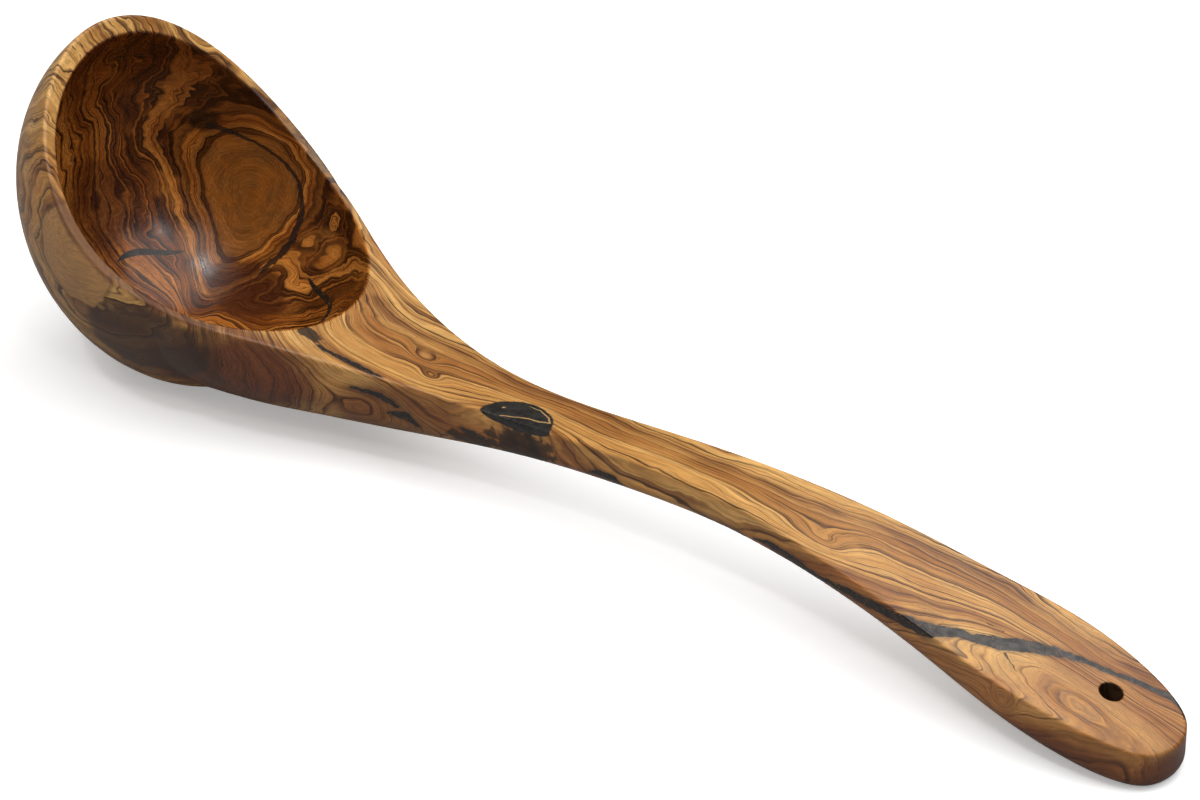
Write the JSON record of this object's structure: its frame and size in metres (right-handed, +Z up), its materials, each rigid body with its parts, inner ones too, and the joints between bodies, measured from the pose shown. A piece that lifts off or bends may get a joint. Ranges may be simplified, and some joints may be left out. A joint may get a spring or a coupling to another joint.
{
  "type": "soup ladle",
  "caption": "Carved olive wood soup ladle with a deep egg-shaped bowl, a flowing flat-topped handle, a hanging hole and black resin fills in its natural splits.",
  "frame": {"origin": "middle of the ladle's length and width, on the table it rests on", "axes": "+X from the bowl to the tip of the handle, +Y across the handle, +Z up from the table; the bowl's mouth opens upwards and towards the handle"},
  "size_m": [0.336, 0.0786, 0.0892],
  "materials": {
    "olive_wood": "satin, oiled",
    "void_resin": "hard black filler sanded flush, satin",
    "seam_resin": "hard black filler sanded flush, satin",
    "split_resin": "hard black filler sanded flush, satin"
  },
  "bodies": {
    "root": {"ladle_body": "olive_wood", "neck_void_fill": "void_resin", "handle_seam_fill": "seam_resin", "handle_branch_fill": "split_resin", "shoulder_split_fill": "split_resin", "upper_side_split_fill": "split_resin", "lower_side_split_fill": "split_resin", "edge_spot_fill": "split_resin", "bowl_front_split_fill": "split_resin", "bowl_back_split_fill": "split_resin"}
  },
  "joints": []
}
